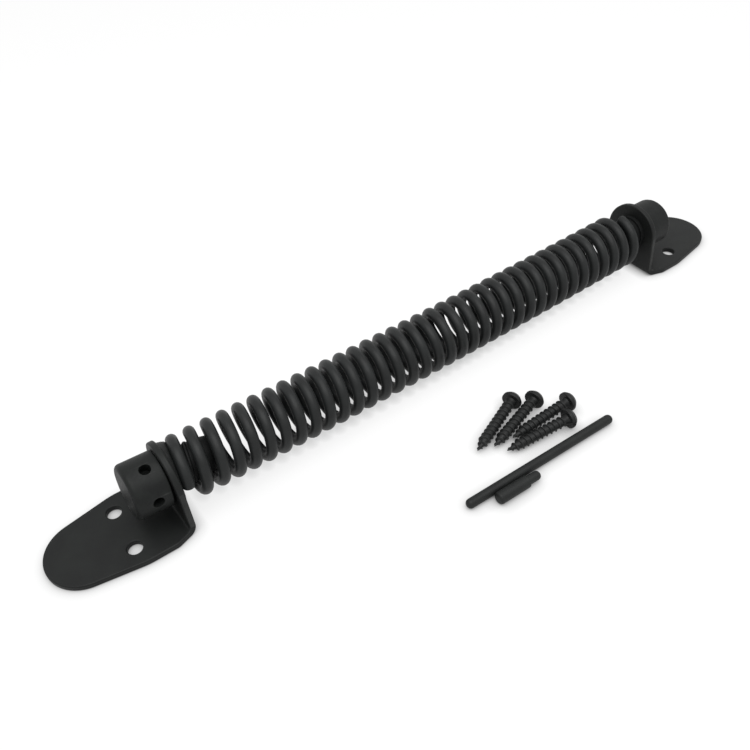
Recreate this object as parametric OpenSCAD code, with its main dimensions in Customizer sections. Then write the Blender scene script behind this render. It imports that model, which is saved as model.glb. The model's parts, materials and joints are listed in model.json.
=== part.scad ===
// Gate spring closer: a left-hand torsion spring between a post bracket and a gate bracket.
// A bar in the winding head turns the near end of the spring, and a short pin then holds the head.
// Millimetres. +X runs along the spring to the gate, +Z up, and both bracket backs lie on Z = 0.
// The origin is midway between the two screw holes of the post bracket.

/* [Brackets] */
// Thickness of the bent strip
strip_t = 2.7; // [2:0.1:4]
// Outer radius of the bend between leaf and ear
bend_r = 4; // [3.5:0.5:8]
// Line of the screw holes to the face of the ear on the spring side
ear_dist = 23.4; // [20:0.1:28]
// Distance between the two ears, spring side to spring side
ear_gap = 263.2; // [200:0.1:320]
// Height of the spring axis over the backs of the brackets
axis_h = 19.8; // [18:0.1:24]
// Width of the ear where it leaves the bend
ear_w = 32.2; // [28:0.1:36]
// Radius of the round top of the ear
ear_top_r = 14.4; // [13:0.1:17]
// Width of the leaf at its broadest
leaf_w = 38.4; // [34:0.1:44]
// Length over which the leaf narrows toward the bend, from the centre of its broad corners
leaf_taper_l = 6; // [5:0.5:12]
// Radius of the leaf's broad corners
leaf_corner_r = 5.5; // [4:0.5:7]
// Length of the leaf's straight sides, from the broad corners
leaf_side_l = 9; // [2:0.5:14]
// Radius at which the sides turn in toward the round end
leaf_side_r = 30; // [20:1:40]
// Radius of the leaf's round end
leaf_end_r = 15.9; // [12:0.1:18]
// Line of the screw holes to the centre of the round end
leaf_end_dist = 15.9; // [12:0.1:22]
// Distance between the two screw holes of a bracket
screw_hole_gap = 20.7; // [16:0.1:24]
// Diameter of the screw holes
screw_hole_d = 6; // [5.2:0.1:8]
// Chamfer round the screw holes
screw_hole_chamfer = 0.6; // [0.2:0.1:0.8]

/* [Heads] */
// Diameter of the winding head and of the plain head
head_d = 23.3; // [20:0.1:26]
// Length of a head
head_l = 14.4; // [12:0.1:18]
// Radius of a head's outer edge
head_edge_r = 2; // [0.6:0.1:3]
// Gap between a head and the ear
head_gap = 0.4; // [0.2:0.1:1]
// Number of winding holes
winding_holes = 5; // [4:1:8]
// Diameter of the winding holes
winding_hole_d = 4.5; // [4:0.1:6]
// Depth of the winding holes
winding_hole_depth = 6; // [4:0.5:7]
// Leaf side of the ear to the line of the winding holes
winding_hole_dist = 6.3; // [5:0.1:9]
// Angle of the first winding hole, from +Y toward +Z
winding_hole_angle = 105; // [0:1:180]

/* [Hubs] */
// Diameter of the shoulder between the post ear and the spring
shoulder_d = 26; // [20:0.1:28]
// Diameter of the shoulder between the gate ear and the spring
gate_shoulder_d = 18; // [17:0.1:28]
// Thickness of either shoulder
shoulder_t = 2; // [1.5:0.1:3]
// Gap between a shoulder and its ear
thrust_gap = 0.1; // [0.05:0.05:0.3]
// Diameter of the journal that turns in the post ear
journal_d = 13; // [10:0.5:16]
// Width of the square shank in the gate ear
shank_w = 9.5; // [8.5:0.5:11]
// Diameter of the spigot that holds a head
spigot_d = 8; // [6:0.5:9]
// Length of the spigot inside a head
spigot_l = 9; // [6:0.5:11]
// Clearance all round a fit
fit_gap = 0.05; // [0.05:0.05:0.1]
// Face of the ear to the end of the hub inside the spring
hub_l = 16; // [10:0.5:24]
// Chamfer on the end of the hub
hub_chamfer = 1.5; // [0.5:0.1:2.5]
// Clearance between hub and coil
hub_coil_gap = 0.3; // [0.3:0.1:1]

/* [Spring] */
// Outer diameter of the coil
coil_od = 28; // [24:0.5:32]
// Diameter of the spring wire
wire_d = 4.9; // [4:0.1:5.5]
// Number of turns of the coil
coil_turns = 35.22; // [26:0.01:38]
// Angle of the cut end at the winding head, from +Y toward +Z
near_tip_angle = 165; // [0:1:360]
// Gap between the shoulder and the first turn at the winding head
near_gap = 0.3; // [0.3:0.1:4]
// Gap between the shoulder and the last turn at the gate
far_gap = 3.5; // [0.3:0.1:6]

/* [Winding bar and pin] */
// Diameter of the winding bar
rod_d = 4.2; // [3.5:0.1:4.4]
// Length of the winding bar
rod_l = 80; // [60:0.5:100]
// Start of the winding bar along X
rod_x = 113.5; // [90:0.5:140]
// Start of the winding bar along Y
rod_y = -72.2; // [-90:0.1:-60]
// Direction in which the winding bar lies
rod_heading = -1.6; // [-10:0.1:10]
// Radius of the bar's end edges
rod_edge_r = 1.7; // [0.3:0.1:1.7]
// Diameter of the lock pin's body
pin_d = 5.4; // [5:0.1:7]
// Diameter of the lock pin's thin end, which goes in a winding hole
pin_tip_d = 4; // [3.5:0.1:4.4]
// Length of the thin end
pin_tip_l = 6.6; // [5:0.1:9]
// Length of the lock pin in all
pin_l = 22; // [18:0.5:32]
// Distance of the pin's start from the bar's start, along the bar
pin_along = 11.5; // [0:0.5:40]
// Gap between pin and bar
pin_gap = 0.3; // [0.3:0.1:2]
// Radius of the pin's end edges
pin_edge_r = 1.2; // [0.3:0.1:1.5]

/* [Screws] */
// Diameter of a screw head
screw_head_d = 9; // [8:0.1:11]
// Height of a screw head
screw_head_h = 3.4; // [2.5:0.1:4]
// Diameter over the thread
screw_thread_d = 5; // [4:0.1:5.6]
// Diameter of the core between the ridges
screw_core_d = 3.9; // [2.8:0.1:4]
// Length under the head
screw_l = 31; // [25:0.1:40]
// Length of the point
screw_point = 6.5; // [4:0.5:9]
// Pitch of the thread ridges
screw_pitch = 2.4; // [1.6:0.1:3]
// Width of an arm of the cross recess
recess_w = 1.1; // [0.8:0.1:1.6]
// Length of the cross recess
recess_l = 4.8; // [4:0.1:6]
// Depth of the cross recess
recess_depth = 1.8; // [1:0.1:2.4]
// Start of the winding bar to the tip of the fourth screw, along the bar
screws_along = 31.5; // [10:0.1:60]
// Angle at which the fourth screw's head slants toward the bar
screw_slant = 5.8; // [0:0.1:20]
// Gap between the bar and the fourth screw's head
rod_screw_gap = 2.4; // [0.3:0.1:5]
// Gap between the second screw's head and the first screw's shank
first_head_gap = 0.6; // [0.5:0.1:1]
// Tip of the third screw from that of the fourth, along the fourth
third_along = 6.2; // [4:0.1:8]
// Tip of the third screw beside the axis of the fourth
third_side = 4.7; // [4.6:0.1:6]
// Gap between the fourth screw's head and the third screw's shank
third_head_gap = 1.3; // [1:0.1:4]
// Tip of the second screw behind that of the third, along the third
second_behind = 9.4; // [6:0.1:12]
// Tip of the second screw beside the axis of the third
second_side = 0.9; // [0.8:0.1:2]
// Gap between the second screw's head and the third screw's shank
second_head_gap = 2.9; // [2.8:0.1:5]
// Tip of the first screw beside the axis of the second
first_side = 4.3; // [4.2:0.1:6]
// Tip of the first screw behind that of the second, along the second
first_behind = 6.3; // [6:0.1:12]

/* [Hidden] */
$fn = 96;

// Joins overlap by this much, and cuts run past a face by it.
over = 0.5;
// Straight pieces in each arc of an outline
arc_steps = 32;
// Plane of symmetry between the two ears
mid_x = ear_dist + ear_gap / 2;
// Leaf side of the ear, and the head's face beside it
ear_back_x = ear_dist - strip_t;
head_face_x = ear_back_x - head_gap;
leaf_flat_x = ear_dist - bend_r;
shoulder_face_x = ear_dist + thrust_gap + shoulder_t;
hub_end_x = ear_dist + hub_l;

// The coil is drawn with few sides, so its bore is a little tighter than the real one.
turn_rings = 8;
wire_sides = 6;
coil_r = (coil_od - wire_d) / 2;
coil_bore_r = coil_r * cos(180 / turn_rings) - wire_d / 2;
hub_d = 2 * (coil_bore_r - hub_coil_gap);
near_tip_x = shoulder_face_x + near_gap + wire_d / 2;
coil_l = ear_gap - 2 * (thrust_gap + shoulder_t) - near_gap - far_gap - wire_d;
coil_pitch = coil_l / coil_turns;
ring_count = ceil(coil_turns * turn_rings);

// A screw on the ground rests on its thread and on the rim of its head.
lying_tilt = atan((screw_head_d - screw_thread_d) / 2 / (screw_l - screw_point));
lying_tip_h = screw_thread_d / 2 * cos(lying_tilt) - screw_point * sin(lying_tilt);

// Place beside another one, as x, y and heading: moved along it and to its left, then turned to the left
function beside(place, along, side, turn) = [
    place[0] + along * cos(place[2]) - side * sin(place[2]),
    place[1] + along * sin(place[2]) + side * cos(place[2]),
    place[2] + turn];
// Turn that brings a screw's head a given distance from the axis that its tip lies beside
function head_turn(tip_side, head_side) = asin((head_side - tip_side) / (screw_l + screw_head_h / 2));

rod_place = [rod_x, rod_y, rod_heading];
pin_place = beside(rod_place, pin_along, -(rod_d + pin_d) / 2 - pin_gap, 0);
fourth_side = (rod_d + screw_head_d) / 2 + rod_screw_gap + screw_l * sin(screw_slant);
fourth_place = beside(rod_place, screws_along, fourth_side, -screw_slant);
third_turn = head_turn(third_side, (screw_head_d + screw_thread_d) / 2 + third_head_gap);
third_place = beside(fourth_place, third_along, third_side, third_turn);
second_turn = head_turn(second_side, (screw_head_d + screw_thread_d) / 2 + second_head_gap);
second_place = beside(third_place, -second_behind, second_side, second_turn);
first_turn = head_turn(first_side, (screw_head_d + screw_thread_d) / 2 + first_head_gap);
first_place = beside(second_place, -first_behind, first_side, first_turn);

bracket_colour = "#2e2f30";
head_colour = "#2a2b2b";
hub_colour = "#252627";
wire_colour = "#303132";
loose_colour = "#28292a";

// Outer tangent of two circles on the left of the way from the first to the second: its normal's angle
function tangent_angle(c1, r1, c2, r2) =
    atan2(c2[1] - c1[1], c2[0] - c1[0]) + acos((r1 - r2) / norm(c2 - c1));
function arc(c, r, from, to) = [for (i = [0:arc_steps])
    let (a = from + (to - from) * i / arc_steps)
    c + r * [cos(a), sin(a)]];
function mirrored(points) = [for (i = [len(points) - 1:-1:0]) [points[i][0], -points[i][1]]];

// Outline of the tongue-shaped leaf, round at the end and broad beside the bend
module leaf_outline() {
    end_c = [-leaf_end_dist, 0];
    corner_c = [leaf_flat_x - leaf_taper_l, leaf_w / 2 - leaf_corner_r];
    side_c = [corner_c[0] - leaf_side_l, leaf_w / 2 - leaf_side_r];
    ear_p = [leaf_flat_x, ear_w / 2];
    edge_a = tangent_angle(corner_c, leaf_corner_r, ear_p, 0);
    side_a = tangent_angle(end_c, leaf_end_r, side_c, leaf_side_r);
    corner = concat([ear_p], arc(corner_c, leaf_corner_r, edge_a, 90));
    side = concat(corner, arc(side_c, leaf_side_r, 90, side_a));
    round_end = arc(end_c, leaf_end_r, side_a, 360 - side_a);
    polygon(concat(side, round_end, mirrored(side)));
}

// Outline of the ear, with straight sides that run into the round top
module ear_outline() {
    top_c = [0, axis_h];
    foot_p = [ear_w / 2, bend_r];
    side_a = tangent_angle(top_c, ear_top_r, foot_p, 0);
    polygon(concat([foot_p], arc(top_c, ear_top_r, side_a, 180 - side_a), [[-foot_p[0], foot_p[1]]]));
}

// Leaf, bend and ear of either bracket; the children are the outline of the hole in the ear.
module bracket() {
    difference() {
        union() {
            linear_extrude(strip_t) leaf_outline();
            translate([leaf_flat_x, ear_w / 2, bend_r]) rotate([90, 0, 0]) linear_extrude(ear_w)
                intersection() {
                    difference() {
                        circle(bend_r);
                        circle(bend_r - strip_t);
                    }
                    translate([0, -bend_r]) square(bend_r);
                }
            translate([ear_back_x, 0, 0]) rotate([90, 0, 90]) linear_extrude(strip_t) ear_outline();
        }
        for (s = [-1, 1]) translate([0, s * screw_hole_gap / 2, 0]) {
            translate([0, 0, -over]) cylinder(d = screw_hole_d, h = strip_t + 2 * over);
            chamfer_top_d = screw_hole_d + 4 * screw_hole_chamfer;
            translate([0, 0, strip_t - screw_hole_chamfer])
                cylinder(d1 = screw_hole_d, d2 = chamfer_top_d, h = 2 * screw_hole_chamfer);
        }
        translate([ear_back_x - over, 0, axis_h]) rotate([90, 0, 90]) linear_extrude(strip_t + 2 * over)
            children();
    }
}

// Round bar along +X from the origin, with rounded edges at both ends
module round_bar(d, l, start_r, end_r) {
    rotate([0, 90, 0]) rotate_extrude() intersection() {
        square([d / 2, l]);
        union() {
            translate([0, start_r]) square([d / 2, l - start_r - end_r]);
            square([d / 2 - start_r, 2 * start_r]);
            translate([0, l - 2 * end_r]) square([d / 2 - end_r, 2 * end_r]);
            translate([d / 2 - start_r, start_r]) circle(start_r);
            translate([d / 2 - end_r, l - end_r]) circle(end_r);
        }
    }
}

// Head with a bore for the spigot on its ear side
module head() {
    back_r = head_edge_r / 4;
    difference() {
        translate([head_face_x - head_l, 0, axis_h]) round_bar(head_d, head_l, head_edge_r, back_r);
        translate([head_face_x - spigot_l - fit_gap, 0, axis_h]) rotate([0, 90, 0])
            cylinder(d = spigot_d + 2 * fit_gap, h = spigot_l + over);
    }
}

// Spigot, shoulder and the part inside the coil; the children join spigot and shoulder through the ear.
module hub(rim_d) {
    children();
    translate([0, 0, axis_h]) rotate([0, 90, 0]) {
        translate([0, 0, head_face_x - spigot_l]) cylinder(d = spigot_d, h = spigot_l + over);
        translate([0, 0, ear_dist + thrust_gap]) cylinder(d = rim_d, h = shoulder_t);
        translate([0, 0, shoulder_face_x - over])
            cylinder(d = hub_d, h = hub_end_x - hub_chamfer - shoulder_face_x + over);
        translate([0, 0, hub_end_x - hub_chamfer])
            cylinder(d1 = hub_d, d2 = hub_d - 2 * hub_chamfer, h = hub_chamfer);
    }
}

// The gate end is the post end turned to face it.
module gate_end() {
    translate([2 * mid_x, 0, 0]) mirror([1, 0, 0]) children();
}

module adjusting_bracket() {
    color(bracket_colour) bracket() circle(d = journal_d + 2 * fit_gap);
}

module gate_bracket() {
    color(bracket_colour) gate_end() bracket() square(shank_w + 2 * fit_gap, center = true);
}

module winding_head() {
    color(head_colour) difference() {
        head();
        for (i = [0:winding_holes - 1])
            translate([ear_back_x - winding_hole_dist, 0, axis_h])
                rotate([winding_hole_angle + i * 360 / winding_holes, 0, 0])
                    translate([0, head_d / 2 - winding_hole_depth, 0]) rotate([-90, 0, 0])
                        cylinder(d = winding_hole_d, h = winding_hole_depth + over);
    }
}

module fixed_head() {
    color(head_colour) gate_end() head();
}

module adjuster_hub() {
    color(hub_colour) hub(shoulder_d) {
        translate([head_face_x + fit_gap, 0, axis_h]) rotate([0, 90, 0])
            cylinder(d = journal_d, h = ear_dist + thrust_gap + over - head_face_x - fit_gap);
    }
}

module gate_hub() {
    shank_l = ear_dist + thrust_gap + over - head_face_x - fit_gap;
    color(hub_colour) gate_end() hub(gate_shoulder_d) {
        translate([head_face_x + fit_gap, -shank_w / 2, axis_h - shank_w / 2])
            cube([shank_l, shank_w, shank_w]);
    }
}

// The coil's wire: rings of points round a left-hand helix
function ring_angle(i) = near_tip_angle - 360 * coil_turns * i / ring_count;
function ring_centre(i) = [near_tip_x + coil_l * i / ring_count, coil_r * cos(ring_angle(i)),
                           axis_h + coil_r * sin(ring_angle(i))];
function ring_radial(i) = [0, cos(ring_angle(i)), sin(ring_angle(i))];
function ring_tangent(i) = [coil_pitch, 2 * PI * coil_r * sin(ring_angle(i)),
                            -2 * PI * coil_r * cos(ring_angle(i))];
function ring_side(i) = cross(ring_tangent(i), ring_radial(i)) / norm(ring_tangent(i));
function ring_points(i) = [for (k = [0:wire_sides - 1])
    let (a = 360 * k / wire_sides)
    ring_centre(i) + wire_d / 2 * (cos(a) * ring_radial(i) + sin(a) * ring_side(i))];

wire_points = [for (i = [0:ring_count]) each ring_points(i)];

// Least distance between the points of a ring and those of the next turn
function ring_gap(i) = min([
    for (j = [i + 5:min(i + 11, ring_count)], a = [0:wire_sides - 1], b = [0:wire_sides - 1])
        norm(wire_points[i * wire_sides + a] - wire_points[j * wire_sides + b])]);
echo(least_gap_between_turns = min([for (i = [0:ring_count - 5]) ring_gap(i)]));

module spring() {
    last = ring_count * wire_sides;
    walls = [for (i = [0:ring_count - 1], k = [0:wire_sides - 1])
        let (a = i * wire_sides + k, b = i * wire_sides + (k + 1) % wire_sides)
        each [[a, a + wire_sides, b + wire_sides], [a, b + wire_sides, b]]];
    near_end = [for (k = [1:wire_sides - 2]) [0, k, k + 1]];
    far_end = [for (k = [1:wire_sides - 2]) [last, last + k + 1, last + k]];
    color(wire_colour) polyhedron(wire_points, concat(walls, near_end, far_end));
}

module tension_rod() {
    color(loose_colour) translate([rod_place[0], rod_place[1], rod_d / 2]) rotate(rod_place[2])
        round_bar(rod_d, rod_l, rod_edge_r, rod_edge_r);
}

// The pin lies beside the bar, its thin end pointing the same way.
module lock_pin() {
    sunk = 2 * pin_edge_r;
    color(loose_colour) translate([pin_place[0], pin_place[1], pin_d / 2]) rotate(pin_place[2]) {
        round_bar(pin_d, pin_l - pin_tip_l, pin_edge_r, pin_edge_r);
        translate([pin_l - pin_tip_l - sunk, 0, 0])
            round_bar(pin_tip_d, pin_tip_l + sunk, pin_edge_r, pin_edge_r);
    }
}

// Half profile of a screw: point, ridges of the thread, then the domed head
function taper(x) = min(1, x / screw_point);
ridges = floor((screw_l - screw_pitch) / screw_pitch);
ridge_points = [for (i = [1:ridges], step = [0, 0.5])
    let (x = (i + step) * screw_pitch - screw_pitch / 2)
    [(step == 0 ? screw_core_d : screw_thread_d) / 2 * taper(x), x]];
head_points = [for (a = [0:15:90])
    [screw_head_d / 2 * cos(a), screw_l + screw_head_h * (0.25 + 0.75 * sin(a))]];
screw_profile = concat([[0, 0]], ridge_points, [[screw_core_d / 2, screw_l - screw_pitch / 2],
    [screw_core_d / 2, screw_l], [screw_head_d / 2, screw_l]], head_points);

// Wood screw on the ground with its tip at a place and its head the way it points
module wood_screw(place) {
    color(loose_colour) translate([place[0], place[1], lying_tip_h])
        rotate([0, 90 - lying_tilt, place[2]]) difference() {
            rotate_extrude() polygon(screw_profile);
            for (turn = [0, 90]) rotate([0, 0, turn])
                translate([-recess_l / 2, -recess_w / 2, screw_l + screw_head_h - recess_depth])
                    cube([recess_l, recess_w, recess_depth + over]);
        }
}

module screw_1() {
    wood_screw(first_place);
}

module screw_2() {
    wood_screw(second_place);
}

module screw_3() {
    wood_screw(third_place);
}

module screw_4() {
    wood_screw(fourth_place);
}

adjusting_bracket();
winding_head();
adjuster_hub();
spring();
gate_bracket();
fixed_head();
gate_hub();
tension_rod();
lock_pin();
screw_1();
screw_2();
screw_3();
screw_4();
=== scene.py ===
"""Gate spring closer with its loose fixings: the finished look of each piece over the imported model."""
import json
import math

import bmesh
import bpy
from mathutils import Matrix, Vector


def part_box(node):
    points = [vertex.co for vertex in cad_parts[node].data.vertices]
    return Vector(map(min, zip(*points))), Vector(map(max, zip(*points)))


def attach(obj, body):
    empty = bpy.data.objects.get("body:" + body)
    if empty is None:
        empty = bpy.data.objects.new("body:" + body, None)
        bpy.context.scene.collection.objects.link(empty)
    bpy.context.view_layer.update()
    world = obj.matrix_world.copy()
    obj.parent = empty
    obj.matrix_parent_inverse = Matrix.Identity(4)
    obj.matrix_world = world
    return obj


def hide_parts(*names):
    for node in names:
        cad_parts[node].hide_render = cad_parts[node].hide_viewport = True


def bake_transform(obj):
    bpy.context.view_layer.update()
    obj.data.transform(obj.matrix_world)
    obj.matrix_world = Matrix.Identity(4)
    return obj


MM = 0.001

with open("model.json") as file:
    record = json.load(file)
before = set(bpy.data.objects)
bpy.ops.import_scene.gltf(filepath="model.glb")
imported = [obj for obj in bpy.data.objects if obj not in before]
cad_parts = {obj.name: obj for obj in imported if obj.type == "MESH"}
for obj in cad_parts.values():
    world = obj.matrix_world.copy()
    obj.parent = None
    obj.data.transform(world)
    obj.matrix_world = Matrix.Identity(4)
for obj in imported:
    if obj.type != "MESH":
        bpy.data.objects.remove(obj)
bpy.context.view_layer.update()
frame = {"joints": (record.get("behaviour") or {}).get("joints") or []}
scene = bpy.context.scene

# Camera
# It stands to the left, in front and above, and looks along the spring to the far bracket.
camera_place = Vector((-18.83, -207.8, 256.1)) * MM
camera_heading = math.radians(55.94)
camera_pitch = math.radians(-43.99)
camera_roll = math.radians(-2.8)
forward = Vector((
    math.cos(camera_pitch) * math.cos(camera_heading),
    math.cos(camera_pitch) * math.sin(camera_heading),
    math.sin(camera_pitch),
))
level = forward.cross(Vector((0, 0, 1))).normalized()
upright = level.cross(forward)
camera_right = level * math.cos(camera_roll) + upright * math.sin(camera_roll)
camera_up = upright * math.cos(camera_roll) - level * math.sin(camera_roll)
camera_data = bpy.data.cameras.new("camera")
camera_data.sensor_width = 36
camera_data.lens = 37.8
camera_data.clip_start = 0.01
camera = bpy.data.objects.new("camera", camera_data)
camera.matrix_world = Matrix.Translation(camera_place) @ (
    Matrix((camera_right, camera_up, -forward)).transposed().to_4x4()
)
scene.collection.objects.link(camera)
scene.camera = camera

# Post bracket
# A strip of steel stamped to a tongue with two screw holes, then bent up to an ear that carries the
# winding head. Its black coat is painted paler along the stamped edges, as a highlight and a little
# wear.


def linear(hex_colour):
    """Linear colour of an sRGB hex colour."""
    values = [int(hex_colour[i:i + 2], 16) / 255 for i in (1, 3, 5)]
    return [v / 12.92 if v <= 0.04045 else ((v + 0.055) / 1.055) ** 2.4 for v in values] + [1]


def add_node(tree, kind, settings, inputs):
    """Adds a shader node with its settings, and sets or links its inputs."""
    made = tree.nodes.new(kind)
    for name, value in settings.items():
        setattr(made, name, value)
    for name, value in inputs.items():
        if isinstance(value, bpy.types.NodeSocket):
            tree.links.new(value, made.inputs[name])
        else:
            made.inputs[name].default_value = value
    return made


def black_coat(name, dark, pale, edge_wear_and_highlight, grain, lump, lump_height, roughness, gloss):
    """Black coat with a fine grain, broad pale and dark patches, low lumps, and edges painted paler as a
    highlight and a little wear.

    The grain is about a pixel of the render or finer, so it reads as an even satin sheen.
    """
    sheen_spread = 0.07
    grain_height = grain * 0.06
    material = bpy.data.materials.new(name)
    material.use_nodes = True
    tree = material.node_tree
    surface = tree.nodes["Principled BSDF"]
    surface.inputs["Specular IOR Level"].default_value = gloss
    place = add_node(tree, "ShaderNodeTexCoord", {}, {}).outputs["Object"]
    fine = add_node(tree, "ShaderNodeTexNoise", {}, {
        "Vector": place, "Scale": 1 / grain, "Detail": 3.0, "Roughness": 0.6,
    }).outputs["Fac"]
    broad = add_node(tree, "ShaderNodeTexNoise", {}, {
        "Vector": place, "Scale": 1 / lump, "Detail": 4.0, "Roughness": 0.55,
    }).outputs["Fac"]
    patches = add_node(tree, "ShaderNodeMapRange", {}, {
        "Value": broad, "From Min": 0.3, "From Max": 0.7,
    }).outputs["Result"]
    coat = add_node(tree, "ShaderNodeMix", {"data_type": "RGBA"}, {"Factor": patches})
    coat.inputs[6].default_value = linear(dark)
    coat.inputs[7].default_value = linear(pale)
    # Painted highlight and a little wear: sharp outer edges are mixed towards the paler edge colour,
    # broken up by the patches.
    edge = add_node(tree, "ShaderNodeNewGeometry", {}, {}).outputs["Pointiness"]
    edge_wear_and_highlight_share = add_node(tree, "ShaderNodeMapRange", {}, {
        "Value": edge, "From Min": 0.53, "From Max": 0.62, "To Max": 0.5,
    }).outputs["Result"]
    broken_edge_wear_and_highlight = add_node(tree, "ShaderNodeMath", {"operation": "MULTIPLY"}, {
        0: edge_wear_and_highlight_share, 1: patches,
    }).outputs[0]
    coat_with_edge_wear_and_highlight = add_node(tree, "ShaderNodeMix", {"data_type": "RGBA"}, {"Factor": broken_edge_wear_and_highlight})
    tree.links.new(coat.outputs[2], coat_with_edge_wear_and_highlight.inputs[6])
    coat_with_edge_wear_and_highlight.inputs[7].default_value = linear(edge_wear_and_highlight)
    tree.links.new(coat_with_edge_wear_and_highlight.outputs[2], surface.inputs["Base Color"])
    sheen = add_node(tree, "ShaderNodeMapRange", {}, {
        "Value": fine, "From Min": 0.3, "From Max": 0.7,
        "To Min": roughness - sheen_spread, "To Max": roughness + sheen_spread,
    }).outputs["Result"]
    tree.links.new(sheen, surface.inputs["Roughness"])
    lumps = add_node(tree, "ShaderNodeBump", {}, {
        "Height": broad, "Distance": lump_height, "Strength": 1.0,
    })
    grains = add_node(tree, "ShaderNodeBump", {}, {
        "Height": fine, "Distance": grain_height, "Strength": 1.0, "Normal": lumps.outputs["Normal"],
    })
    tree.links.new(grains.outputs["Normal"], surface.inputs["Normal"])
    return material


def add_piece(name, mesh, material, nodes, body):
    """Shows a mesh as a piece that stands for the CAD nodes and rides on a body."""
    sharp_angle = math.radians(35)
    for polygon in mesh.polygons:
        polygon.use_smooth = True
    mesh.set_sharp_from_angle(angle=sharp_angle)
    mesh.materials.clear()
    mesh.materials.append(material)
    made = bpy.data.objects.new(name, mesh)
    scene.collection.objects.link(made)
    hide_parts(*nodes)
    if body:
        made.modifiers.new("even shading", "WEIGHTED_NORMAL").keep_sharp = True
        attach(made, body)
    return made


def arc(centre, radius, first, last, steps):
    """Points of an arc in the plane, from one angle to another in degrees."""
    angles = [math.radians(first + (last - first) * i / steps) for i in range(steps + 1)]
    return [(centre[0] + radius * math.cos(a), centre[1] + radius * math.sin(a)) for a in angles]


def tangent_angle(centre, radius, next_centre, next_radius):
    """Angle at which the line that touches both circles, with them on its right, meets them."""
    dx = next_centre[0] - centre[0]
    dy = next_centre[1] - centre[1]
    return math.degrees(math.atan2(dy, dx) + math.acos((radius - next_radius) / math.hypot(dx, dy)))


bracket_low, bracket_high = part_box("adjusting_bracket")
tension_joint = [j for j in frame["joints"] if j["name"] == "tension_adjust"][0]
ear_face = bracket_high.x
axis_h = tension_joint["pos_m"][2]
strip_t = 2.7 * MM
bend_r = 4 * MM
ear_w = 32.2 * MM
journal_r = 6.5 * MM
leaf_taper_l = 6 * MM
leaf_corner_r = 5.5 * MM
leaf_side_l = 9 * MM
leaf_side_r = 30 * MM
leaf_end_r = 15.9 * MM
screw_hole_gap = 20.7 * MM
screw_hole_r = 3 * MM
stamped_edge_r = 0.65 * MM
bend_steps = 14
hole_steps = 48
weld_gap = 0.002 * MM

flat_end = ear_face - bend_r
neutral_r = bend_r - strip_t / 2
ear_foot = flat_end + neutral_r * math.pi / 2
ear_centre = (ear_foot + axis_h - bend_r, 0)
ear_top_r = bracket_high.z - axis_h
leaf_end_centre = (bracket_low.x + leaf_end_r, 0)
leaf_corner = (flat_end - leaf_taper_l, bracket_high.y - leaf_corner_r)
leaf_side = (leaf_corner[0] - leaf_side_l, bracket_high.y - leaf_side_r)


def stamped_bracket(name):
    """The flat blank of a bracket with rounded edges and its holes, bent up to the ear."""
    side_angle = tangent_angle(leaf_end_centre, leaf_end_r, leaf_side, leaf_side_r)
    edge_angle = tangent_angle(leaf_corner, leaf_corner_r, (ear_foot, ear_w / 2), 0)
    ear_angle = tangent_angle((ear_foot, ear_w / 2), 0, ear_centre, ear_top_r)
    half = arc(leaf_end_centre, leaf_end_r, 180, side_angle, 24)
    half += arc(leaf_side, leaf_side_r, side_angle, 90, 8)
    half += arc(leaf_corner, leaf_corner_r, 90, edge_angle, 12)
    half += [(ear_foot, ear_w / 2)]
    half += arc(ear_centre, ear_top_r, ear_angle, 0, 32)
    outlines = [half + [(x, -y) for x, y in half[-2:0:-1]]]
    last_angle = 360 - 360 / hole_steps
    for y in (-screw_hole_gap / 2, screw_hole_gap / 2):
        outlines.append(arc((0, y), screw_hole_r, 0, last_angle, hole_steps - 1))
    outlines.append(arc(ear_centre, journal_r, 0, last_angle, hole_steps - 1))
    blank = bpy.data.curves.new(name + "_blank", "CURVE")
    blank.dimensions = "2D"
    blank.fill_mode = "BOTH"
    blank.extrude = strip_t / 2 - stamped_edge_r
    blank.bevel_depth = stamped_edge_r
    blank.bevel_resolution = 5
    blank.offset = -stamped_edge_r
    for outline in outlines:
        spline = blank.splines.new("POLY")
        spline.points.add(len(outline) - 1)
        for point, (x, y) in zip(spline.points, outline):
            point.co = (x, y, 0, 1)
        spline.use_cyclic_u = True
    holder = bpy.data.objects.new(name + "_blank", blank)
    scene.collection.objects.link(holder)
    graph = bpy.context.evaluated_depsgraph_get()
    mesh = bpy.data.meshes.new_from_object(holder.evaluated_get(graph))
    bpy.data.objects.remove(holder)
    sheet = bmesh.new()
    sheet.from_mesh(mesh)
    bmesh.ops.remove_doubles(sheet, verts=sheet.verts, dist=weld_gap)
    for i in range(bend_steps + 1):
        cut = (flat_end + (ear_foot - flat_end) * i / bend_steps, 0, 0)
        everything = sheet.verts[:] + sheet.edges[:] + sheet.faces[:]
        bmesh.ops.bisect_plane(sheet, geom=everything, plane_co=cut, plane_no=(1, 0, 0))
    for vertex in sheet.verts:
        along, across, depth = vertex.co
        depth += strip_t / 2
        turn = min(max((along - flat_end) / neutral_r, 0), math.pi / 2)
        reach = bend_r - depth
        x = min(along, flat_end) + reach * math.sin(turn)
        z = bend_r - reach * math.cos(turn) + max(along - ear_foot, 0)
        vertex.co = (x, across, z)
    bmesh.ops.recalc_face_normals(sheet, faces=sheet.faces)
    sheet.to_mesh(mesh)
    sheet.free()
    return mesh


# Powder coat on stamped steel: near black and satin, painted a little paler along its edges as a
# highlight and a little wear.
bracket_coat = black_coat(
    "black coat on stamped steel", dark="#131414", pale="#191b1a", edge_wear_and_highlight="#424342",
    grain=0.3 * MM, lump=9 * MM, lump_height=0.02 * MM, roughness=0.5, gloss=0.17,
)
add_piece(
    "post_bracket", stamped_bracket("post_bracket"), bracket_coat,
    ["adjusting_bracket"], "adjusting_bracket",
)

# Winding hub
# A cast plug with a shoulder against the ear, a round journal through it, and a low thread cast on
# its nose that holds the first turns of the spring.


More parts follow.
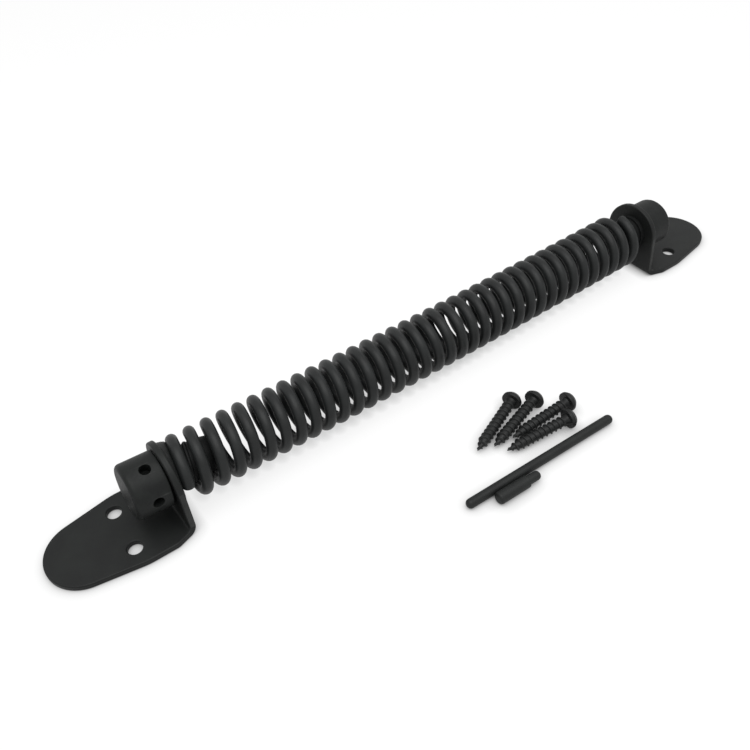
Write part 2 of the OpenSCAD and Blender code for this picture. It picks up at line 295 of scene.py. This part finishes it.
def rounded(corners):
    """Line of (along, radius, corner radius) with each corner turned into a short arc."""
    corner_steps = 6
    line = []
    for i, (x, y, size) in enumerate(corners):
        here = Vector((x, y))
        if size == 0 or i in (0, len(corners) - 1):
            line.append(here)
            continue
        back = (Vector(corners[i - 1][:2]) - here).normalized()
        on = (Vector(corners[i + 1][:2]) - here).normalized()
        half = back.angle(on) / 2
        centre = here + (back + on).normalized() * (size / math.sin(half))
        start = here + back * (size / math.tan(half)) - centre
        end = here + on * (size / math.tan(half)) - centre
        sweep = start.angle_signed(end)
        for k in range(corner_steps + 1):
            line.append(centre + Matrix.Rotation(-sweep * k / corner_steps, 2) @ start)
    return line


def turned(corners, start, direction, segments):
    """Mesh turned about an axis from a line of (along, radius, corner radius), from end to end."""
    on_axis = 0.001 * MM
    direction = direction.normalized()
    across = direction.orthogonal().normalized()
    other = direction.cross(across)
    work = bmesh.new()
    rings = []
    for along, radius in rounded(corners):
        middle = start + direction * along
        if radius < on_axis:
            rings.append([work.verts.new(middle)] * segments)
            continue
        ring = []
        for i in range(segments):
            angle = 2 * math.pi * i / segments
            out = across * math.cos(angle) + other * math.sin(angle)
            ring.append(work.verts.new(middle + out * radius))
        rings.append(ring)
    for a, b in zip(rings, rings[1:]):
        for i in range(segments):
            j = (i + 1) % segments
            corner = [a[i], a[j], b[j], b[i]]
            face = [v for k, v in enumerate(corner) if v is not corner[k - 1]]
            if len(face) > 2:
                work.faces.new(face)
    bmesh.ops.recalc_face_normals(work, faces=work.faces)
    mesh = bpy.data.meshes.new("turned")
    work.to_mesh(mesh)
    work.free()
    return mesh


def swept(path, radii, outward, sides):
    """Mesh of a round bar along a path, with a radius at each point and its ends closed."""
    work = bmesh.new()
    rings = []
    for i, point in enumerate(path):
        along = (path[min(i + 1, len(path) - 1)] - path[max(i - 1, 0)]).normalized()
        out = (outward[i] - along * outward[i].dot(along)).normalized()
        side = along.cross(out)
        ring = []
        for k in range(sides):
            angle = 2 * math.pi * k / sides
            away = out * math.cos(angle) + side * math.sin(angle)
            ring.append(work.verts.new(point + away * radii[i]))
        rings.append(ring)
    for a, b in zip(rings, rings[1:]):
        for k in range(sides):
            j = (k + 1) % sides
            work.faces.new((a[k], a[j], b[j], b[k]))
    work.faces.new(rings[0][::-1])
    work.faces.new(rings[-1])
    bmesh.ops.recalc_face_normals(work, faces=work.faces)
    mesh = bpy.data.meshes.new("swept")
    work.to_mesh(mesh)
    work.free()
    return mesh


def joined(meshes):
    """One mesh of several."""
    work = bmesh.new()
    for mesh in meshes:
        work.from_mesh(mesh)
    whole = bpy.data.meshes.new("joined")
    work.to_mesh(whole)
    work.free()
    return whole


coil_r = 11.55 * MM
wire_r = 2.45 * MM
coil_pitch = 7.107 * MM
coil_turns = 35.22
near_tip_x = 28.25 * MM
near_tip_angle = 165
tip_turn = -8 / 360
tip_pull = 0.8 * MM
tip_pull_end = 2.5
upper_edge = math.radians(41)
front_lean = 0.9 * MM
front_lean_more = 0.5 * MM
back_lean = 0.4 * MM
back_lean_more = 2.4 * MM
lean_start = 10
lean_peak = 17
lean_dip = 22
lean_dip_end = 26
lean_far = 31
dip_share = 0.1
far_share = 0.45
thin_t = 0.3 * MM
head_gap = 0.4 * MM
head_back = ear_face - strip_t - head_gap
spigot_r = 4 * MM
spigot_l = 9 * MM
shoulder_r = 13 * MM
thrust_gap = 0.1 * MM
shank_gap = 0.05 * MM
cast_edge_r = 0.4 * MM
rim_edge_r = 0.1 * MM
hub_r = 7.92 * MM
hub_l = 20 * MM
hub_segments = 96
nose_taper_l = 6 * MM
nose_r = 6.4 * MM
thread_r = 0.9 * MM
thread_middle_r = 7.6 * MM
thread_turns = 1.35
thread_start = -0.3
thread_steps = 96
thread_end_share = 0.3
thread_end_rise = 6
thread_sides = 12
ramp_steps = 120
ramp_falls = 0.45
ramp_ends = 0.9
ramp_line = [
    (hub_r - 0.5 * MM, 0), (hub_r - 0.5 * MM, 1), (shoulder_r - 1.7 * MM, 1),
    (shoulder_r - 1.1 * MM, 0.9), (shoulder_r - 0.6 * MM, 0.6), (shoulder_r, 0),
]


def hub_profile(shank_r, rim_r, rim_t, length):
    """Line of a hub from its spigot to its nose, along the axis from the back of the head."""
    shoulder = ear_face - head_back + thrust_gap
    nose = ear_face - head_back + length
    return [
        (-spigot_l, 0, 0), (-spigot_l, spigot_r, cast_edge_r), (0, spigot_r, 0),
        (0, shank_r - shank_gap, 0), (shoulder, shank_r - shank_gap, 0),
        (shoulder, rim_r, rim_edge_r), (shoulder + rim_t, rim_r, rim_edge_r),
        (shoulder + rim_t, hub_r, rim_edge_r), (nose - nose_taper_l, hub_r, cast_edge_r),
        (nose, nose_r, cast_edge_r), (nose, 0, 0),
    ]


def fade(value, first, last):
    """Falls smoothly from 1 at the first value to 0 at the last."""
    share = min(max((value - first) / (last - first), 0), 1)
    return 1 - share * share * (3 - 2 * share)


def on_coil(turn, radius):
    """Point after a number of turns at a radius from the axis, and the direction away from the axis.

    Each turn leans: in front it lies nearer the post, and behind nearer the gate. The lean behind is
    greatest half-way along, then small for a few turns, and greater again at the far end.
    """
    angle = math.radians(near_tip_angle) - 2 * math.pi * turn
    out = Vector((0, math.cos(angle), math.sin(angle)))
    front = -front_lean - front_lean_more * turn / coil_turns
    share = far_share + (1 - dip_share) * fade(turn, lean_peak, lean_dip)
    share -= (far_share - dip_share) * fade(turn, lean_dip_end, lean_far)
    back = back_lean + back_lean_more * (1 - fade(turn, lean_start, lean_peak)) * share
    lean = (front + back) / 2 * (1 - math.cos(angle - upper_edge))
    lean += (front - back) / 2 * math.sin(angle - upper_edge)
    x = near_tip_x + coil_pitch * turn + lean - tip_pull * fade(turn, tip_turn, tip_pull_end)
    return Vector((x, 0, axis_h)) + out * radius, out


def ramp_mesh():
    """The shoulder's raised side: a collar beside the first turn of the wire that then falls away."""
    work = bmesh.new()
    base = ear_face + thrust_gap
    rows = []
    for i in range(ramp_steps):
        turn = tip_turn + i / ramp_steps
        angle = math.radians(near_tip_angle) - 2 * math.pi * turn
        out = Vector((0, math.cos(angle), math.sin(angle)))
        rise = on_coil(turn, coil_r)[0].x - wire_r - base
        height = thin_t + (rise - thin_t) * fade(turn, ramp_falls, ramp_ends)
        row = []
        for radius, share in ramp_line:
            middle = Vector((base + max(height, thin_t) * share, 0, axis_h))
            row.append(work.verts.new(middle + out * radius))
        rows.append(row)
    for i in range(ramp_steps):
        a = rows[i]
        b = rows[(i + 1) % ramp_steps]
        for k in range(len(ramp_line)):
            j = (k + 1) % len(ramp_line)
            work.faces.new((a[k], a[j], b[j], b[k]))
    bmesh.ops.recalc_face_normals(work, faces=work.faces)
    mesh = bpy.data.meshes.new("ramp")
    work.to_mesh(mesh)
    work.free()
    return mesh


# Black coat on a casting: the dullest of the coats, with the low lumps of the mould, and painted darker
# than the others as shade inside the coil.
hub_coat = black_coat(
    "black coat on a cast hub", dark="#0e0f0f", pale="#141515", edge_wear_and_highlight="#3a3b3a",
    grain=0.45 * MM, lump=3 * MM, lump_height=0.07 * MM, roughness=0.55, gloss=0.14,
)
thread_path = []
thread_out = []
thread_radii = []
for i in range(thread_steps + 1):
    share = i / thread_steps
    point, out = on_coil(thread_turns * share + thread_start, thread_middle_r)
    thread_path.append(point + Vector((coil_pitch / 2, 0, 0)))
    thread_out.append(out)
    from_end = min(share, 1 - share)
    thread_radii.append(thread_r * min(1, thread_end_share + thread_end_rise * from_end))
winding_hub_line = hub_profile(journal_r, shoulder_r, thin_t, hub_l)
winding_hub_mesh = joined([
    turned(winding_hub_line, Vector((head_back, 0, axis_h)), Vector((1, 0, 0)), hub_segments),
    ramp_mesh(),
    swept(thread_path, thread_radii, thread_out, thread_sides),
])
add_piece("winding_hub", winding_hub_mesh, hub_coat, ["adjuster_hub"], "adjuster")

# Winding head
# A cast cap on the hub's spigot, with a rounded rim and five blind holes round it for the bar that
# winds the spring and the pin that holds it. The loose hub lets it tip up a little.
head_low, head_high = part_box("winding_head")
head_r = (head_high.z - head_low.z) / 2
head_edge_r = 2 * MM
winding_hole_x = 14.4 * MM
winding_hole_r = 2.25 * MM
winding_hole_depth = 6 * MM
winding_hole_angle = 105
winding_holes = 5
hole_floor_share = 0.6
hole_floor_rise = 0.8 * MM
mouth_depth = 0.2 * MM
mouth_edge_r = 0.3 * MM
mouth_reach = 1.5 * MM
mouth_more_r = 0.8 * MM
head_bore_gap = 0.7 * MM
head_bore_edge_r = 0.3 * MM
head_bore_more_l = 0.3 * MM
head_segments = 128
head_tip = math.radians(3.5)
head_play = 0.4 * MM


def head_profile():
    """Line of a head from its face to its blind bore."""
    length = head_high.x - head_low.x
    bore_r = spigot_r + head_bore_gap
    bore_floor = length - spigot_l - head_bore_more_l
    return [
        (0, 0, 0), (0, head_r, head_edge_r), (length, head_r, head_edge_r / 4),
        (length, bore_r, head_bore_edge_r), (bore_floor, bore_r, 0), (bore_floor, 0, 0),
    ]


def cut_away(mesh, cutters):
    """The mesh with the cutters taken away from it."""
    whole = bpy.data.objects.new("whole", mesh)
    tool = bpy.data.objects.new("tool", joined(cutters))
    scene.collection.objects.link(whole)
    scene.collection.objects.link(tool)
    cut = whole.modifiers.new("cut", "BOOLEAN")
    cut.operation = "DIFFERENCE"
    cut.solver = "EXACT"
    cut.object = tool
    graph = bpy.context.evaluated_depsgraph_get()
    left = bpy.data.meshes.new_from_object(whole.evaluated_get(graph))
    bpy.data.objects.remove(whole)
    bpy.data.objects.remove(tool)
    return left


hole_cutters = []
for i in range(winding_holes):
    angle = math.radians(winding_hole_angle + 360 / winding_holes * i)
    out = Vector((0, math.cos(angle), math.sin(angle)))
    floor_of_hole = Vector((winding_hole_x, 0, axis_h)) + out * (head_r - winding_hole_depth)
    mouth = winding_hole_depth
    hole_line = [
        (0, 0, 0), (0, winding_hole_r * hole_floor_share, 0), (hole_floor_rise, winding_hole_r, 0),
        (mouth - mouth_depth, winding_hole_r, mouth_edge_r),
        (mouth + mouth_reach, winding_hole_r + mouth_more_r, 0), (mouth + mouth_reach, 0, 0),
    ]
    hole_cutters.append(turned(hole_line, floor_of_hole, out, hole_steps))
# Black coat on a casting: soft wide highlights, slightly broken by the low lumps of the mould.
head_coat = black_coat(
    "black coat on a cast head", dark="#151616", pale="#1b1d1c", edge_wear_and_highlight="#434443",
    grain=0.45 * MM, lump=3.5 * MM, lump_height=0.08 * MM, roughness=0.52, gloss=0.14,
)
head_mesh = turned(head_profile(), Vector((head_low.x, 0, axis_h)), Vector((1, 0, 0)), head_segments)
head_mesh = cut_away(head_mesh, hole_cutters)
tip_centre = Matrix.Translation((head_high.x, 0, axis_h))
head_mesh.transform(
    Matrix.Translation((-head_play, 0, 0)) @ tip_centre
    @ Matrix.Rotation(head_tip, 4, "Y") @ tip_centre.inverted()
)
add_piece("winding_head_cap", head_mesh, head_coat, ["winding_head"], "adjuster")

# Spring
# Round wire wound left hand with open turns and plain cut ends. It hangs on the two hubs a little
# low of their axis and sags between them.
# Powder coat on drawn wire: smooth, with one soft narrow highlight along each turn.
spring_coat = black_coat(
    "black coat on spring wire", dark="#181919", pale="#1f2121", edge_wear_and_highlight="#3f4040",
    grain=0.3 * MM, lump=6 * MM, lump_height=0.02 * MM, roughness=0.45, gloss=0.2,
)
near_hang = 0.6 * MM
far_hang = 1.15 * MM
sag = 1.9 * MM
steps_a_turn = 60
cut_edge_r = 0.35 * MM
cut_edge_angles = [math.radians(a) for a in (0, 30, 60, 90)]
wire_sides = 20
steps = round(coil_turns * steps_a_turn)
wire_path = []
wire_out = []
for i in range(steps + 1):
    share = i / steps
    point, out = on_coil(tip_turn + (coil_turns - tip_turn) * share, coil_r)
    drop = near_hang + (far_hang - near_hang) * share + sag * 4 * share * (1 - share)
    wire_path.append(point - Vector((0, 0, drop)))
    wire_out.append(out)
wire_radii = [wire_r] * (steps + 1)
for end, beside in ((0, 1), (-1, -2)):
    along = (wire_path[end] - wire_path[beside]).normalized()
    edge_points = [
        wire_path[end] - along * cut_edge_r * (1 - math.sin(a)) for a in cut_edge_angles
    ]
    edge_radii = [wire_r - cut_edge_r * (1 - math.cos(a)) for a in cut_edge_angles]
    if end == 0:
        wire_path[:1] = edge_points[::-1]
        wire_radii[:1] = edge_radii[::-1]
        wire_out[:1] = [wire_out[0]] * len(cut_edge_angles)
    else:
        wire_path[-1:] = edge_points
        wire_radii[-1:] = edge_radii
        wire_out[-1:] = [wire_out[-1]] * len(cut_edge_angles)
spring_mesh = swept(wire_path, wire_radii, wire_out, wire_sides)
spring_piece = add_piece("torsion_spring", spring_mesh, spring_coat, ["spring"], None)
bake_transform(spring_piece)

# Gate bracket
# The same coated steel stamping as the post bracket, turned round to face it. Two screws through
# its leaf would hold it to the gate.
gate_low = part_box("gate_bracket")[0]
middle_x = (ear_face + gate_low.x) / 2
turn_round = Matrix.Translation((2 * middle_x, 0, 0)) @ Matrix.Rotation(math.pi, 4, "Z")
gate_bracket_mesh = stamped_bracket("gate_bracket_leaf")
gate_bracket_mesh.transform(turn_round)
add_piece(
    "gate_bracket_leaf", gate_bracket_mesh, bracket_coat,
    ["gate_bracket"], "gate_bracket",
)

# Gate hub
# A cast plug like the winding hub, with a smaller shoulder and a shorter nose. It is held from
# turning in its ear and carries the last turns of the spring.
gate_shank_r = 6.6 * MM
gate_shoulder_r = 9 * MM
gate_shoulder_t = 2 * MM
gate_hub_l = 16 * MM
gate_hub_mesh = turned(
    hub_profile(gate_shank_r, gate_shoulder_r, gate_shoulder_t, gate_hub_l),
    Vector((2 * middle_x - head_back, 0, axis_h)), Vector((-1, 0, 0)), hub_segments,
)
add_piece("gate_hub_plug", gate_hub_mesh, hub_coat, ["gate_hub"], "gate_bracket")

# Gate head
# A cast cap on the gate hub's spigot, coated like the winding head. It is plain, because nothing
# is wound at this end.
gate_head_mesh = turned(
    head_profile(), Vector((2 * middle_x - head_low.x, 0, axis_h)), Vector((-1, 0, 0)), head_segments,
)
add_piece("gate_head_cap", gate_head_mesh, head_coat, ["fixed_head"], "gate_bracket")

# Tension rod
# A plain round steel bar with rounded ends. It lies loose, and goes into a winding hole to turn
# the head.
rod_r = 2.1 * MM
rod_l = 80 * MM
rod_end_r = 1.9 * MM
rod_place = Vector((113.5 * MM, -72.2 * MM, rod_r))
rod_heading = math.radians(-1.6)
rod_way = Vector((math.cos(rod_heading), math.sin(rod_heading), 0))
bar_segments = 40
# Black finish on drawn bar: even and satin, with a straight soft highlight along the top.
bar_coat = black_coat(
    "black coat on steel bar", dark="#191a1a", pale="#202221", edge_wear_and_highlight="#444544",
    grain=0.3 * MM, lump=7 * MM, lump_height=0.03 * MM, roughness=0.5, gloss=0.18,
)
rod_line = [(0, 0, 0), (0, rod_r, rod_end_r), (rod_l, rod_r, rod_end_r), (rod_l, 0, 0)]
rod_mesh = turned(rod_line, rod_place, rod_way, bar_segments)
add_piece("winding_bar", rod_mesh, bar_coat, ["tension_rod"], "tension_rod")

# Lock pin
# A short steel bar, turned down at one end to fit a winding hole and finished like the rod. It
# lies loose beside it.
pin_r = 2.7 * MM
pin_l = 22 * MM
pin_tip_r = 2 * MM
pin_tip_l = 6.6 * MM
pin_end_r = 1.2 * MM
pin_step_r = 0.3 * MM
pin_tip_end_r = 1.6 * MM
pin_place = Vector((124.85 * MM, -77.62 * MM, pin_r))
pin_line = [
    (0, 0, 0), (0, pin_r, pin_end_r), (pin_l - pin_tip_l, pin_r, pin_step_r),
    (pin_l - pin_tip_l, pin_tip_r, pin_step_r), (pin_l, pin_tip_r, pin_tip_end_r), (pin_l, 0, 0),
]
pin_mesh = turned(pin_line, pin_place, rod_way, bar_segments)
add_piece("holding_pin", pin_mesh, bar_coat, ["lock_pin"], "lock_pin")

# Screws
# Four coated steel wood screws with pan heads that lie loose on the floor. Each has a rolled
# thread up to the head and a cross recess.
screw_head_r = 4.5 * MM
screw_head_h = 3.4 * MM
screw_l = 31 * MM
screw_core_r = 2.05 * MM
screw_thread_r = 2.65 * MM
screw_point_l = 6.5 * MM
screw_pitch = 2.4 * MM
recess_w = 1.1 * MM
recess_l = 4.8 * MM
recess_depth = 1.8 * MM
recess_floor_share = 0.55
screw_segments = 48
screw_tip_l = 0.2 * MM
screw_tip_r = 0.25 * MM
point_blend_r = 1 * MM
neck_l = 1.2 * MM
neck_more_r = 0.5 * MM
neck_edge_r = 0.2 * MM
pan_rim_r = 0.35 * MM
pan_side_share = 0.45
pan_side_r = 1 * MM
pan_top_share = 0.66
pan_top_r = 1.5 * MM
ridge_first = 1 * MM
ridge_last_gap = 0.5 * MM
ridge_steps = 24
ridge_half_w = 0.55 * MM
ridge_crest_half_w = 0.1 * MM
ridge_sunk = 0.15 * MM
ridge_point_share = 0.15
ridge_point_rise = 1.2
ridge_end_share = 0.05


def wood_screw(tip, heading, tilt):
    """Screw with its tip at a place and its head the way it points."""
    line = [
        (0, 0, 0), (screw_tip_l, screw_tip_r, 0), (screw_point_l, screw_core_r, point_blend_r),
        (screw_l - neck_l, screw_core_r, 0), (screw_l, screw_core_r + neck_more_r, neck_edge_r),
        (screw_l, screw_head_r, pan_rim_r),
        (screw_l + screw_head_h * pan_side_share, screw_head_r, pan_side_r),
        (screw_l + screw_head_h, screw_head_r * pan_top_share, pan_top_r),
        (screw_l + screw_head_h, 0, 0),
    ]
    origin = Vector((0, 0, 0))
    along = Vector((1, 0, 0))
    body = turned(line, origin, along, screw_segments)
    arms = []
    for turn in (0, math.pi / 2):
        work = bmesh.new()
        bmesh.ops.create_cube(work, size=1)
        for vertex in work.verts:
            shrink = recess_floor_share if vertex.co.x < 0 else 1
            vertex.co = (
                screw_l + screw_head_h + vertex.co.x * 2 * recess_depth,
                vertex.co.y * recess_l * shrink,
                vertex.co.z * recess_w * shrink,
            )
        bmesh.ops.rotate(work, verts=work.verts, cent=origin, matrix=Matrix.Rotation(turn, 3, "X"))
        arm = bpy.data.meshes.new("arm")
        work.to_mesh(arm)
        work.free()
        arms.append(arm)
    body = cut_away(cut_away(body, arms[:1]), arms[1:])
    work = bmesh.new()
    rows = []
    last = screw_l - ridge_last_gap
    count = round((last - ridge_first) / screw_pitch * ridge_steps)
    for i in range(count + 1):
        x = ridge_first + (last - ridge_first) * i / count
        angle = 2 * math.pi * i / ridge_steps
        out = Vector((0, math.cos(angle), math.sin(angle)))
        core = min(screw_core_r, screw_tip_r + screw_core_r * x / screw_point_l)
        from_point = ridge_point_share + ridge_point_rise * x / screw_point_l
        full = min(1, from_point, ridge_end_share + (last - x) / screw_pitch)
        crest = core + (screw_thread_r - screw_core_r) * full
        foot = core - ridge_sunk
        section = [
            (-ridge_half_w, foot), (-ridge_crest_half_w, crest),
            (ridge_crest_half_w, crest), (ridge_half_w, foot),
        ]
        rows.append([
            work.verts.new(along * (x + shift) + out * radius) for shift, radius in section
        ])
    for a, b in zip(rows, rows[1:]):
        for k in range(3):
            work.faces.new((a[k], a[k + 1], b[k + 1], b[k]))
    work.faces.new(rows[0])
    work.faces.new(rows[-1][::-1])
    bmesh.ops.recalc_face_normals(work, faces=work.faces)
    ridge = bpy.data.meshes.new("ridge")
    work.to_mesh(ridge)
    work.free()
    screw = joined([body, ridge])
    screw.transform(
        Matrix.Translation(tip) @ Matrix.Rotation(heading, 4, "Z") @ Matrix.Rotation(-tilt, 4, "Y")
    )
    return screw


# Black coat on rolled screws: satin, painted a little paler along the edges of the thread and the head
# as a highlight and a little wear.
screw_coat = black_coat(
    "black coat on screws", dark="#161717", pale="#1e1f1f", edge_wear_and_highlight="#4a4b4a",
    grain=0.3 * MM, lump=3 * MM, lump_height=0.03 * MM, roughness=0.45, gloss=0.2,
)
lying_tilt = math.atan((screw_head_r - screw_thread_r) / (screw_l - screw_point_l))
lying_tip_h = screw_thread_r * math.cos(lying_tilt) - screw_point_l * math.sin(lying_tilt)
screw_places = {
    "screw_1": (135.505, -53.476, 20.69),
    "screw_2": (142.7, -56.012, 14.9),
    "screw_3": (152.08, -57.09, -1.08),
    "screw_4": (145.33, -60.95, -7.4),
}
for node, (x, y, heading) in screw_places.items():
    screw_mesh = wood_screw(Vector((x * MM, y * MM, lying_tip_h)), math.radians(heading), lying_tilt)
    add_piece(node.replace("screw", "wood_screw"), screw_mesh, screw_coat, [node], node)

# Floor
# Plain white studio floor under the closer. What is seen of it is mostly plain white, with painted shade
# close to each piece and a faint part of the real wide shadow.


def seen_share(tree, share):
    """The share for rays from the camera and from shiny or clear surfaces, and nothing for the rest."""
    ray = add_node(tree, "ShaderNodeLightPath", {}, {})
    seen = ray.outputs["Is Camera Ray"]
    steps = (
        ("ADD", ray.outputs["Is Glossy Ray"]), ("ADD", ray.outputs["Is Transmission Ray"]),
        ("MINIMUM", 1.0), ("MULTIPLY", share),
    )
    for operation, other in steps:
        made = add_node(tree, "ShaderNodeMath", {"operation": operation}, {0: seen, 1: other})
        seen = made.outputs[0]
    return seen


floor_mesh = bpy.data.meshes.new("floor")
floor_half = 3.0
floor_h = -0.02 * MM
floor_glow_share = 0.8
painted_shade_reach = 6 * MM
floor_mesh.from_pydata(
    [(-floor_half, -floor_half, floor_h), (floor_half, -floor_half, floor_h),
     (floor_half, floor_half, floor_h), (-floor_half, floor_half, floor_h)],
    [], [(0, 1, 2, 3)],
)
floor = bpy.data.objects.new("floor", floor_mesh)
scene.collection.objects.link(floor)
# Matt white paint: no highlight, so that only the shade near each piece shows on it, most of it painted
# into the glow.
floor_material = bpy.data.materials.new("white studio floor")
floor_material.use_nodes = True
floor_tree = floor_material.node_tree
floor_surface = floor_tree.nodes["Principled BSDF"]
floor_surface.inputs["Base Color"].default_value = linear("#f4f4f4")
floor_surface.inputs["Roughness"].default_value = 0.9
floor_surface.inputs["Specular IOR Level"].default_value = 0.0
# Painted shade: the seen glow is darkened where pieces hem the floor in within a short reach.
painted_contact_shade = add_node(floor_tree, "ShaderNodeAmbientOcclusion", {}, {"Distance": painted_shade_reach})
floor_glow = add_node(floor_tree, "ShaderNodeEmission", {}, {
    "Color": painted_contact_shade.outputs["Color"], "Strength": 1.0,
})
floor_mix = add_node(floor_tree, "ShaderNodeMixShader", {}, {
    "Fac": seen_share(floor_tree, floor_glow_share),
    1: floor_surface.outputs["BSDF"], 2: floor_glow.outputs["Emission"],
})
floor_tree.links.new(floor_mix.outputs["Shader"], floor_tree.nodes["Material Output"].inputs["Surface"])
floor_mesh.materials.append(floor_material)

# Light
# A wide soft light overhead and white all round, as in a light tent. What is seen of the white is
# brighter than the light it gives, so that the background stays white.
world = bpy.data.worlds.new("studio")
scene.world = world
world.use_nodes = True
world_tree = world.node_tree
dome = world_tree.nodes["Background"]
dome.inputs["Color"].default_value = (1, 1, 1, 1)
dome.inputs["Strength"].default_value = 0.55
backdrop = add_node(world_tree, "ShaderNodeBackground", {}, {
    "Color": (1, 1, 1, 1), "Strength": 1.0,
})
world_mix = add_node(world_tree, "ShaderNodeMixShader", {}, {
    "Fac": seen_share(world_tree, 1.0),
    1: dome.outputs["Background"], 2: backdrop.outputs["Background"],
})
world_tree.links.new(world_mix.outputs["Shader"], world_tree.nodes["World Output"].inputs["Surface"])
overhead_data = bpy.data.lights.new("overhead", "AREA")
overhead_data.shape = "RECTANGLE"
overhead_data.size = 1.4
overhead_data.size_y = 1.0
overhead_data.energy = 14
overhead = bpy.data.objects.new("overhead", overhead_data)
overhead_place = Vector((0.05, -0.2, 1.1))
overhead_aim = Vector((0.15, 0, 0))
overhead.matrix_world = Matrix.Translation(overhead_place) @ (
    (overhead_aim - overhead_place).to_track_quat("-Z", "Y").to_matrix().to_4x4()
)
scene.collection.objects.link(overhead)
scene.view_settings.view_transform = "Standard"
